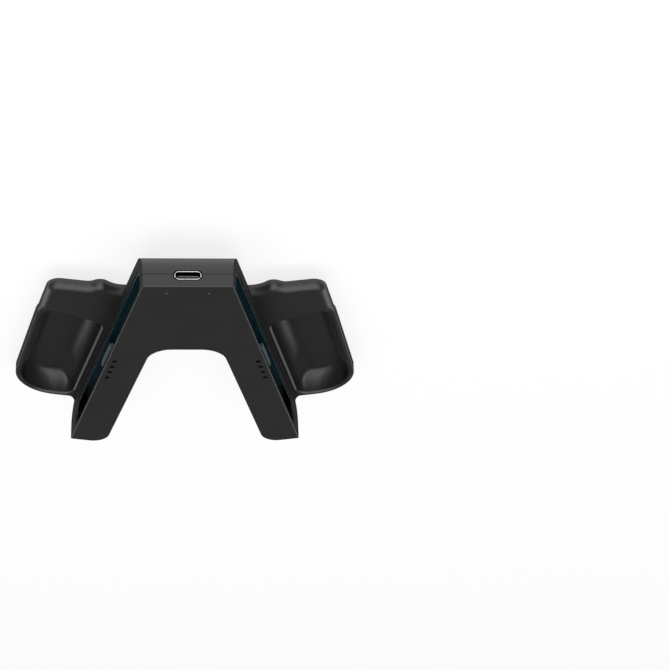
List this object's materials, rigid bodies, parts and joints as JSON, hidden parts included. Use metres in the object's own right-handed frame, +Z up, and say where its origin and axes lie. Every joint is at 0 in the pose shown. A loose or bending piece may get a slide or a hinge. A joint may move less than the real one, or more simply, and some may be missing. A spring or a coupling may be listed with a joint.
{
  "type": "controller charging grip",
  "caption": "Splayed charging grip for slide-on game controllers: black moulded body with a charging port at its crown, glossy rail slots along its legs and hollow palm wings.",
  "frame": {"origin": "on the surface that the grip lies on, below the middle of its length and width", "axes": "+X to the right across the grip, +Y towards the charging port, +Z up out of the front face"},
  "size_m": [0.1214, 0.1128, 0.0231],
  "materials": {
    "black_plastic": "satin, fine moulded grain",
    "rail_plastic": "polished dark teal",
    "connector_plastic": "moulded, grey",
    "contact_metal": "gold plated",
    "board": "green solder mask",
    "chip": "moulded, matt",
    "magnet": "nickel plated",
    "light_guide": "smoked",
    "light_pipe": "milky grey",
    "led": "clear resin",
    "port_steel": "bright drawn steel",
    "port_plastic": "moulded, dark grey",
    "ribbon": "amber film",
    "screw_steel": "blackened"
  },
  "bodies": {
    "root": {"front_cover": "black_plastic", "rear_cover": "black_plastic", "right_rail": "rail_plastic", "left_rail": "rail_plastic", "right_connector_tongue": "connector_plastic", "left_connector_tongue": "connector_plastic", "right_connector_contacts": "contact_metal", "left_connector_contacts": "contact_metal", "right_side_board": "board", "left_side_board": "board", "right_upper_magnet": "magnet", "left_upper_magnet": "magnet", "right_lower_magnet": "magnet", "left_lower_magnet": "magnet", "right_player_light_guide": "light_guide", "left_player_light_guide": "light_guide", "main_board": "board", "board_chips": "chip", "right_charge_led": "led", "left_charge_led": "led", "right_led_pipe": "light_pipe", "left_led_pipe": "light_pipe", "charge_port_shell": "port_steel", "charge_port_tongue": "port_plastic", "charge_port_contacts": "contact_metal", "right_ribbon_cable": "ribbon", "left_ribbon_cable": "ribbon", "board_screws": "screw_steel", "cover_screws": "screw_steel"}
  },
  "joints": []
}
